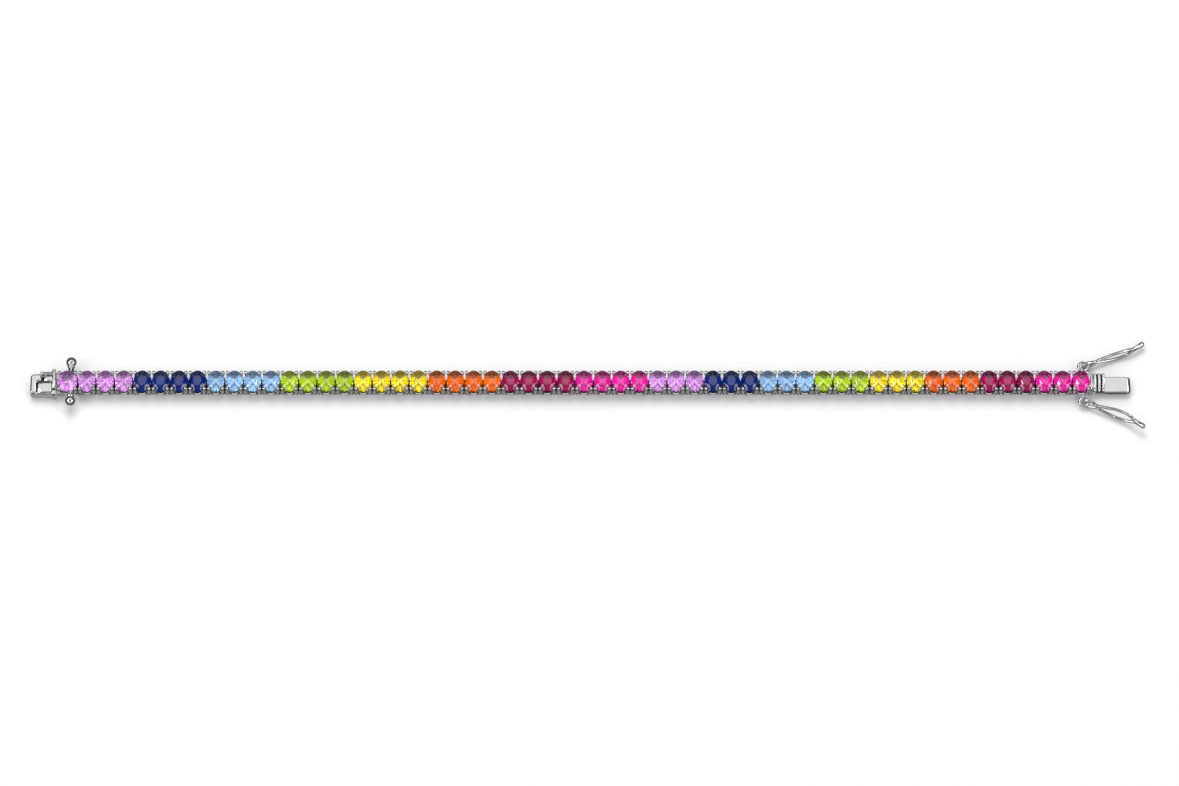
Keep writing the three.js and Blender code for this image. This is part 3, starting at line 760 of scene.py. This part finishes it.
def box_top(bm, end):
    """The rim round the mouth, the top plate and the spring's end in the window, parted by grooves."""
    rim = mouth_outline(RIM_END, RIM_BACK_END) + [
        (RIM_END, WINDOW_FRONT - RIM_NOTCH), (RIM_END + RIM_NOTCH_WIDTH, WINDOW_FRONT),
        (RIM_BACK_END, WINDOW_FRONT + RIM_SLOPE),
    ]
    prism(bm, rim, CAVITY_TOP - SINK, RIM_TOP, RIM_ROUND, 6)
    slab(
        bm, (RIM_END + GROOVE, BOX_FRONT + PLATE_INSET, DECK_LEVEL),
        (PORTAL_START - PLATE_INSET, WINDOW_FRONT - GROOVE / 2, BOX_TOP), PLATE_ROUND, 3,
    )
    slab(
        bm, (WINDOW_START + SLOT, WINDOW_FRONT + GROOVE / 2, DECK_LEVEL),
        (end, WINDOW_BACK, SPRING_TOP),
    )


def back_rail(bm, end):
    """The rail along the box's back, on its shoulder, with the round knob at its end."""
    slab(bm, (SHOULDER, BOX_BACK - BOX_WALL, BOX_LOW), (end, RAIL_BACK, DECK_LEVEL), SHOULDER_ROUND)
    y, z = RAIL_BACK - RAIL_ROD / 2, RAIL_TOP - RAIL_ROD / 2
    rod(bm, (SHOULDER - SINK, y, z), (end, y, z), RAIL_ROD, 20)
    rod(bm, (KNOB_X, KNOB_Y, BOX_LOW), (KNOB_X, KNOB_Y, KNOB_TOP), KNOB, 20, KNOB_ROUND)


def end_plate(bm):
    """The frame between box and basket: sill, two posts and top bar, with its bead and lower block."""
    for top, front, back in (
        (CAVITY_LOW, -PORTAL_SIDE, PORTAL_SIDE),
        (PORTAL_POST_TOP, BOX_BACK - BOX_WALL, PORTAL_SIDE),
        (PORTAL_POST_TOP, -PORTAL_SIDE, BOX_FRONT + BOX_WALL),
    ):
        slab(bm, (PORTAL_START, front, BOX_LOW), (PORTAL_END, back, top), PORTAL_POST_ROUND, 3)
    slab(
        bm, (PORTAL_START, PORTAL_BAR_FRONT, CAVITY_TOP), (PORTAL_END, PORTAL_SIDE, PORTAL_TOP),
        PORTAL_BAR_ROUND, 5,
    )
    bead = spot((PORTAL_START + PORTAL_END) / 2, PORTAL_SIDE - BEAD / 2, BEAD_LEVEL)
    bmesh.ops.create_uvsphere(
        bm, u_segments=20, v_segments=14, radius=BEAD / 2, matrix=Matrix.Translation(bead),
    )
    slab(
        bm, (BLOCK_START, -PORTAL_SIDE, BLOCK_LOW), (BLOCK_END, PORTAL_BAR_FRONT - GROOVE, BLOCK_TOP),
        BLOCK_ROUND, 4,
    )
    # A dark plate inside the frame: painted shade in the tongue's way
    with painted_shade(bm):
        slab(
            bm, (PORTAL_START + SHADE_INSET, SHADE_FRONT, SHADE_LOW),
            (PORTAL_END - SHADE_INSET, 0, SHADE_TOP), FINE_EDGE, 1,
        )


def stud(bm, side):
    """A ball on a collared neck, soldered to the first basket's rail."""
    ball, collar = STUD_BALL / 2, STUD_COLLAR / 2
    base = STUD_REACH + STUD_SINK
    profile = [(0, -base), (STUD_NECK / 2, -base), (STUD_NECK / 2, -ball * STUD_NECK_END)]
    for station in STUD_COLLAR_STATIONS:
        profile.append((collar * station["radius"], -ball * station["depth"]))
    start = math.asin(collar * STUD_COLLAR_SEAT / ball)
    for k in range(STUD_STEPS):
        a = start + (math.pi - start) * k / STUD_STEPS
        profile.append((ball * math.sin(a), -ball * math.cos(a)))
    profile.append((0, ball))
    middle = spot(STUD_X, side * (STONE_LENGTH / 2 + STUD_REACH), STUD_LEVEL)
    turned(bm, profile, Matrix.Translation(middle) @ Matrix.Rotation(-side * math.pi / 2, 4, "X"))
    foot = side * (STONE_LENGTH / 2 + STUD_FOOT_OUT)
    rod(bm, (STUD_X, foot, STUD_FOOT_LOW), (STUD_X, foot, STUD_LEVEL), STUD_FOOT, 14, EDGE)


def box_clasp():
    """The first basket with everything that is soldered to it."""
    bm = basket(FIRST_WIDTH)
    end = PORTAL_START + SINK
    box_shell(bm, end)
    box_top(bm, end)
    back_rail(bm, end)
    end_plate(bm)
    for side in (-1, 1):
        y = side * (STONE_LENGTH / 2 - CARRIER_INSET)
        start = (PORTAL_END - SINK, y, CARRIER_START_LEVEL)
        rod(bm, start, (CARRIER_END, y, CARRIER_END_LEVEL), CARRIER, 12)
        stud(bm, side)
    return bm


bm = box_clasp()
bmesh.ops.translate(bm, vec=(FIRST_X, CENTRE_Y, 0), verts=bm.verts)
joint = bmesh.new()
hinge(joint, side_wall(FIRST_WIDTH), MIDDLES[1] - FIRST_X - side_wall(STONE_WIDTH))
add(bm, mesh_of(joint, "first_hinge"), Matrix.Translation((FIRST_X, CENTRE_Y, 0)))
piece("box_clasp_body", bm, METAL, replaces=("box_clasp",))

# The tongue clasp: places from the last stone's middle
LINK_BAR = 0.8 * MM
END_WALL = 1.7 * MM
END_WALL_ROUND = 0.09 * MM
THUMB_START = 2.04 * MM
THUMB_END = 4.14 * MM
THUMB_SIDE = 1.7 * MM
THUMB_LOW = 1.31 * MM
THUMB_TOP = 2.03 * MM
THUMB_GAP = 0.16 * MM
THUMB_FRONT_CHAMFER = 0.5 * MM
THUMB_BACK_CHAMFER = 0.18 * MM
RIBS = 3
RIB_VALLEY = 0.26 * MM
RIB_DEPTH = 0.38 * MM
RIB_ROUND = 0.13 * MM
VALLEY_INSET = 0.05 * MM
TONGUE_LOW = 0.46 * MM
TONGUE_HIGH = 1.61 * MM
TONGUE_LENGTH = 4.61 * MM
TONGUE_SIDE = 1.45 * MM
TONGUE_SHIFT = -0.3 * MM
TONGUE_SINK = 0.12 * MM
TONGUE_STRIP = 0.3 * MM
TONGUE_ROUND = 0.1 * MM
TONGUE_CORNER = 0.42 * MM
CORNER_STEPS = 6
NOSE_STEPS = 14
EYE_X = 0.43 * MM
EYE_REACH = 1.2 * MM
EYE_LEVEL = 1.05 * MM
EYE_RADIUS = 0.76 * MM
EYE_WIRE = 0.46 * MM
EYE_SIDES = 12
EYE_BAR_SINK = 0.5 * MM
EYE_BAR_RADII = [0.3 * MM, 0.22 * MM]

# Turns an outline that is drawn in the XY plane to the YZ plane, so that a prism of it runs along X
ALONG_X = Matrix(((0, 0, 1, 0), (1, 0, 0, 0), (0, 1, 0, 0), (0, 0, 0, 1)))


def fold(back, shrink):
    """The strip's fold seen from the side: the nose is set back, and the section is shrunk."""
    high = TONGUE_HIGH - TONGUE_LOW
    middle = high / 2
    outer = middle - shrink
    inner = middle - TONGUE_STRIP + shrink
    nose = TONGUE_LENGTH - middle - back
    turns = [math.radians(-90 + 180 * k / NOSE_STEPS) for k in range(NOSE_STEPS + 1)]
    return (
        [(0, shrink)]
        + [(nose + outer * math.cos(a), middle + outer * math.sin(a)) for a in turns]
        + [(0, high - shrink), (0, high - TONGUE_STRIP + shrink)]
        + [(nose + inner * math.cos(a), middle + inner * math.sin(a)) for a in turns[::-1]]
        + [(0, TONGUE_STRIP - shrink)]
    )


def tongue_strip(bm):
    """The folded spring strip, drawn across from its front edge to its back edge. The fold is shorter
    near the edges, where the nose's corners are rounded."""
    turns = [math.radians(90 * k / CORNER_STEPS) for k in range(CORNER_STEPS + 1)]
    marks = [(TONGUE_CORNER * (1 - math.cos(a)), TONGUE_CORNER * (1 - math.sin(a))) for a in turns]
    ways = [(inward - TONGUE_SIDE, back) for inward, back in marks]
    ways += [(TONGUE_SIDE - inward, back) for inward, back in marks[::-1]]
    start = THUMB_END - TONGUE_SINK
    rows = []
    for y, back in ways:
        inset = min(TONGUE_SIDE - abs(y), TONGUE_ROUND)
        shrink = TONGUE_ROUND - math.sqrt(max(TONGUE_ROUND ** 2 - (TONGUE_ROUND - inset) ** 2, 0))
        points = fold(back, shrink)
        rows.append([bm.verts.new((start + x, y + TONGUE_SHIFT, TONGUE_LOW + z)) for x, z in points])
    for near, far in zip(rows, rows[1:]):
        bmesh.ops.bridge_loops(bm, edges=[
            bm.edges.get((row[k - 1], row[k])) or bm.edges.new((row[k - 1], row[k]))
            for row in (near, far) for k in range(len(row))
        ])
    for row in (rows[0], rows[-1]):
        bm.faces.new(row)


def thumb(bm):
    """The ribbed thumb piece: rounded ribs across it, sloped at the front, over a dark plate that paints
    shade in the valleys.
    """
    start = THUMB_START + THUMB_GAP
    side = THUMB_SIDE - VALLEY_INSET
    # The dark plate under the ribs: painted shade in the valleys
    with painted_shade(bm):
        slab(bm, (start, -side, THUMB_LOW), (THUMB_END, side, THUMB_TOP - RIB_DEPTH), FINE_EDGE, 1)
    outline = [
        (-THUMB_SIDE, THUMB_LOW), (THUMB_SIDE, THUMB_LOW), (THUMB_SIDE, THUMB_TOP - THUMB_BACK_CHAMFER),
        (THUMB_SIDE - THUMB_BACK_CHAMFER, THUMB_TOP), (THUMB_FRONT_CHAMFER - THUMB_SIDE, THUMB_TOP),
        (-THUMB_SIDE, THUMB_TOP - THUMB_FRONT_CHAMFER),
    ]
    rib = (THUMB_END - start - (RIBS - 1) * RIB_VALLEY) / RIBS
    for k in range(RIBS):
        x = start + k * (rib + RIB_VALLEY)
        known = set(bm.verts)
        prism(bm, outline, x, x + rib, RIB_ROUND, 4)
        made = [vert for vert in bm.verts if vert not in known]
        bmesh.ops.transform(bm, matrix=ALONG_X, verts=made)


def eye(bm, side):
    """A level ring for a safety arm, on a short bar from the last basket."""
    centre = side * (STONE_LENGTH / 2 + EYE_REACH)
    r = EYE_WIRE / 2
    turns = [2 * math.pi * k / EYE_SIDES for k in range(EYE_SIDES + 1)]
    section = [(EYE_RADIUS + r * math.cos(a), r * math.sin(a)) for a in turns]
    turned(bm, section, Matrix.Translation((EYE_X, centre, EYE_LEVEL)), steps=36)
    start = spot(EYE_X, side * (STONE_LENGTH / 2 - EYE_BAR_SINK), EYE_LEVEL)
    end = spot(EYE_X, centre - side * EYE_RADIUS, EYE_LEVEL)
    tube(bm, [start, end], EYE_BAR_RADII, EYE_SIDES)


def tongue_clasp():
    """The last basket with the end wall, the thumb piece, the strip and the two eyes."""
    bm = basket(STONE_WIDTH)
    inside = END_WALL + SINK
    slab(bm, (side_wall(STONE_WIDTH), -LINK_BAR, BOX_LOW), (inside, LINK_BAR, LINK_BAR))
    slab(bm, (END_WALL, -THUMB_SIDE, BOX_LOW), (THUMB_START, THUMB_SIDE, THUMB_TOP), END_WALL_ROUND, 3)
    slab(bm, (inside, -THUMB_SIDE, BOX_LOW), (THUMB_END, THUMB_SIDE, THUMB_LOW - THUMB_GAP), WALL_ROUND)
    thumb(bm)
    tongue_strip(bm)
    eye(bm, -1)
    eye(bm, 1)
    return bm


bm = tongue_clasp()
bmesh.ops.translate(bm, vec=(LAST_X, CENTRE_Y, 0), verts=bm.verts)
piece("tongue_clasp_body", bm, METAL, replaces=("tongue_clasp",))

# Safety arms, from the eye's middle to the lip. The tables give how far along the arm each point lies as
# a share of its length, how far it bends out as a share of the flare at the tip, and how far the wire
# stands from the arm's middle as a share of the long loop's half height, or the lip's width as a share.
ARM_LENGTH = 11.7 * MM
ARM_WIRE = 0.54 * MM
ARM_LOOP = 0.8 * MM
ARM_FLARE = 1.3 * MM
ARM_RISE = 1.5
LIP = 0.88 * MM
LIP_LEAST = 0.3
LIP_STATIONS = [
    {"along": 0.80, "out": 0.44, "width": 0.50},
    {"along": 0.86, "out": 0.60, "width": 0.80},
    {"along": 0.92, "out": 0.79, "width": 1.00},
    {"along": 0.96, "out": 0.92, "width": 1.00},
    {"along": 0.98, "out": 0.98, "width": 0.80},
    {"along": 0.992, "out": 1.0, "width": 0.35},
]
ARM_STATIONS = [
    {"along": 0.0, "spread": 0.0, "out": 0.0},
    {"along": 0.015, "spread": 0.5, "out": 0.0},
    {"along": 0.06, "spread": 0.8, "out": 0.02},
    {"along": 0.12, "spread": 0.68, "out": 0.05},
    {"along": 0.2, "spread": 0.3, "out": 0.12},
    {"along": 0.3, "spread": 0.5, "out": 0.17},
    {"along": 0.5, "spread": 1.0, "out": 0.2},
    {"along": 0.68, "spread": 0.88, "out": 0.28},
    {"along": 0.80, "spread": 0.34, "out": 0.44},
    {"along": 0.88, "spread": 0.2, "out": 0.66},
    {"along": 0.94, "spread": 0.12, "out": 0.86},
]


def safety_arm(side, opened, roll):
    """Two bent wires, one over the other, that meet at the eye and in the lip. The arm stands opened by
    so many degrees and is rolled about its length."""
    bm = bmesh.new()
    turn = (
        Matrix.Translation((LAST_X + EYE_X, CENTRE_Y + side * (STONE_LENGTH / 2 + EYE_REACH), EYE_LEVEL))
        @ Matrix.Rotation(side * math.radians(opened), 4, "Z")
        @ Matrix.Rotation(math.radians(-ARM_RISE), 4, "Y")
        @ Matrix.Rotation(math.radians(-roll), 4, "X")
    )

    def way(station, up):
        out = side * station["out"] * ARM_FLARE
        return turn @ spot(station["along"] * ARM_LENGTH, out, up * station.get("spread", 0) * ARM_LOOP)

    for up in (1, -1):
        path = smooth_path([way(station, up) for station in ARM_STATIONS], 5)
        tube(bm, path, [ARM_WIRE / 2] * len(path), 10)
    path = smooth_path([way(station, 0) for station in LIP_STATIONS], 3)
    widths = smooth_path([Vector((station["width"], 0)) for station in LIP_STATIONS], 3)
    tube(bm, path, [LIP / 2 * max(width.x, LIP_LEAST) for width in widths], 14)
    return bm


bm = safety_arm(1, opened=16, roll=10)
piece("arm_back_wire", bm, METAL, "arm_back", replaces=("safety_arm_back",))
bm = safety_arm(-1, opened=21, roll=30)
piece("arm_front_wire", bm, METAL, "arm_front", replaces=("safety_arm_front",))

# The paper floor, which the metal doesn't mirror
FLOOR_SIZE = 6
bpy.ops.mesh.primitive_plane_add(size=FLOOR_SIZE, location=(0, 0, 0))
floor = bpy.context.object
floor.name = "floor"
paper = bpy.data.materials.new("white_paper")
tree, shader = nodes_of(paper)
shader.inputs["Base Color"].default_value = (0.93, 0.93, 0.93, 1)
shader.inputs["Roughness"].default_value = 0.9
shader.inputs["Specular IOR Level"].default_value = 0.1
floor.data.materials.append(paper)
floor.visible_glossy = False

# The studio seen in the metal, from straight down at 0 through level at 0.5 to straight up at 1: grey
# below, dark just above level, where it outlines the metal, and grey again overhead
STUDIO_TONES = [
    (0.0, grey(0.42)), (0.15, grey(0.10)), (0.3, grey(0.10)), (0.46, grey(0.16)), (0.51, grey(0.02)),
    (0.6, grey(0.01)), (0.72, grey(0.03)), (0.86, grey(0.09)), (1.0, grey(0.14)),
]
world = bpy.data.worlds.new("studio")
bpy.context.scene.world = world
world.use_nodes = True
tree = world.node_tree
sky = tree.nodes["Background"]
ways = tree.nodes.new("ShaderNodeTexCoord").outputs["Generated"]
parts = tree.nodes.new("ShaderNodeSeparateXYZ")
tree.links.new(ways, parts.inputs["Vector"])
height = tree.nodes.new("ShaderNodeMapRange")
height.inputs["From Min"].default_value = -1
tree.links.new(parts.outputs["Z"], height.inputs["Value"])
tree.links.new(ramp(tree, height.outputs["Result"], STUDIO_TONES), sky.inputs["Color"])
sky.inputs["Strength"].default_value = 1.0

# Soft lamps that face the bracelet's middle, with power 1 as bright as white paper. The first light
# everything, the next only show in the depth of the stones, and the last lights only the paper.
SILVER_LAMPS = {
    "back_softbox": {"azimuth": 92, "elevation": 66, "far": 1.0, "size": (0.9, 0.45), "power": 0.66},
    "low_softbox": {"azimuth": 92, "elevation": 15, "far": 1.3, "size": (2.0, 0.3), "power": 0.3},
    "left_softbox": {"azimuth": 200, "elevation": 40, "far": 0.9, "size": (0.6, 0.5), "power": 2.3},
    "right_softbox": {"azimuth": -20, "elevation": 40, "far": 0.9, "size": (0.6, 0.5), "power": 2.1},
    "front_softbox": {"azimuth": 270, "elevation": 27, "far": 1.0, "size": (1.6, 0.5), "power": 0.8},
    "left_spark": {"azimuth": 150, "elevation": 62, "far": 1.0, "size": (0.12, 0.12), "power": 11.0},
    "right_spark": {"azimuth": 35, "elevation": 55, "far": 1.0, "size": (0.12, 0.12), "power": 9.0},
    "high_spark": {"azimuth": 262, "elevation": 80, "far": 1.0, "size": (0.1, 0.1), "power": 7.0},
}
STONE_LAMPS = {
    "stone_back_light": {"azimuth": 90, "elevation": 66, "far": 1.0, "size": (0.8, 0.6), "power": 1.2},
    "stone_front_light": {"azimuth": 270, "elevation": 52, "far": 1.0, "size": (1.0, 0.9), "power": 1.9},
    "stone_low_light": {"azimuth": 270, "elevation": 12, "far": 1.0, "size": (0.6, 0.3), "power": 1.2},
}
PAPER_LAMPS = {
    "paper_light": {"azimuth": 96, "elevation": 54, "far": 1.0, "size": (0.8, 0.8), "power": 3.8},
}


def softbox(name, azimuth, elevation, far, size, power):
    """One soft lamp, seen from the bracelet's middle at an azimuth and an elevation in degrees."""
    a, e = math.radians(azimuth), math.radians(elevation)
    towards = spot(math.cos(a) * math.cos(e), math.sin(a) * math.cos(e), math.sin(e))
    light = bpy.data.lights.new(name, "AREA")
    light.shape = "RECTANGLE"
    light.size, light.size_y = size
    light.energy = power * math.pi * size[0] * size[1]
    lamp = bpy.data.objects.new(name, light)
    lamp.location = towards * far
    lamp.rotation_euler = towards.to_track_quat("Z", "Y").to_euler()
    bpy.context.scene.collection.objects.link(lamp)
    return lamp


for name, lamp in SILVER_LAMPS.items():
    softbox(name, **lamp)
for name, lamp in STONE_LAMPS.items():
    made = softbox(name, **lamp)
    made.visible_glossy = False
    made.visible_diffuse = False
for name, lamp in PAPER_LAMPS.items():
    made = softbox(name, **lamp)
    made.visible_glossy = False
    made.visible_transmission = False

# The camera looks down on the bracelet from the photo's angle
ELEVATION = math.radians(67)
LENS = 200.0
SENSOR = 36.0
FRAME_WIDTH = 205.2 * MM
distance = FRAME_WIDTH * LENS / SENSOR
AIM = spot(0.1 * MM, -0.83 * MM, 0)
away = spot(0, -math.cos(ELEVATION), math.sin(ELEVATION))
camera_data = bpy.data.cameras.new("camera")
camera_data.lens = LENS
camera_data.sensor_width = SENSOR
camera_data.clip_start = 0.01
camera_data.clip_end = 20
camera = bpy.data.objects.new("camera", camera_data)
camera.location = AIM + away * distance
camera.rotation_euler = away.to_track_quat("Z", "Y").to_euler()
bpy.context.scene.collection.objects.link(camera)
bpy.context.scene.camera = camera
bpy.context.scene.view_settings.view_transform = "Standard"
